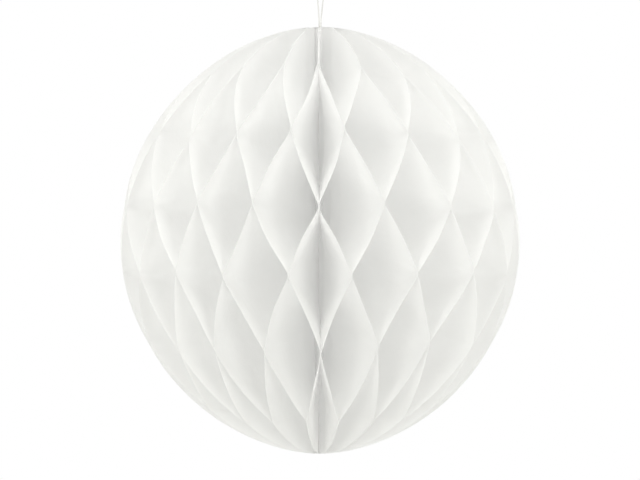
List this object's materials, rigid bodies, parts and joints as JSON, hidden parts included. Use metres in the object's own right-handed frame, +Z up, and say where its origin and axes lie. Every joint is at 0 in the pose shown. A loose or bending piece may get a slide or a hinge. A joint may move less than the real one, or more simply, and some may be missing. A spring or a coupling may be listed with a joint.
{
  "type": "honeycomb paper ball",
  "caption": "Hanging honeycomb ball of white tissue paper: pleated half-discs glued into diamond cells round a spine, with cover cards and a thread loop.",
  "frame": {"origin": "where a hook bears inside the top of the thread loop; the ball hangs below it", "axes": "+Z up along the ball's axis from pole to pole, +Y to the seam of the cover cards at the back, -Y to the front of the picture"},
  "size_m": [0.2794, 0.2793, 0.3567],
  "materials": {
    "tissue": "matte white tissue paper",
    "card": "smooth white card",
    "tape": "double-sided paper tape",
    "thread": "twisted white cotton thread"
  },
  "bodies": {
    "root": {"tissue_sheet_01": "tissue", "tissue_sheet_02": "tissue", "tissue_sheet_03": "tissue", "tissue_sheet_04": "tissue", "tissue_sheet_05": "tissue", "tissue_sheet_06": "tissue", "tissue_sheet_07": "tissue", "tissue_sheet_08": "tissue", "tissue_sheet_09": "tissue", "tissue_sheet_10": "tissue", "tissue_sheet_11": "tissue", "tissue_sheet_12": "tissue", "tissue_sheet_13": "tissue", "tissue_sheet_14": "tissue", "tissue_sheet_15": "tissue", "tissue_sheet_16": "tissue", "tissue_sheet_17": "tissue", "tissue_sheet_18": "tissue", "tissue_sheet_19": "tissue", "tissue_sheet_20": "tissue", "tissue_sheet_21": "tissue", "tissue_sheet_22": "tissue", "tissue_sheet_23": "tissue", "tissue_sheet_24": "tissue", "tissue_sheet_25": "tissue", "tissue_sheet_26": "tissue", "tissue_sheet_27": "tissue", "tissue_sheet_28": "tissue", "tissue_sheet_29": "tissue", "tissue_sheet_30": "tissue", "tissue_sheet_31": "tissue", "tissue_sheet_32": "tissue", "tissue_sheet_33": "tissue", "tissue_sheet_34": "tissue", "tissue_sheet_35": "tissue", "tissue_sheet_36": "tissue", "tissue_sheet_37": "tissue", "tissue_sheet_38": "tissue", "tissue_sheet_39": "tissue", "tissue_sheet_40": "tissue", "cover_card_left": "card", "cover_card_right": "card", "closing_tape_upper": "tape", "closing_tape_lower": "tape", "spine_cord": "thread", "loop_knot": "thread", "hanging_loop": "thread"}
  },
  "joints": []
}
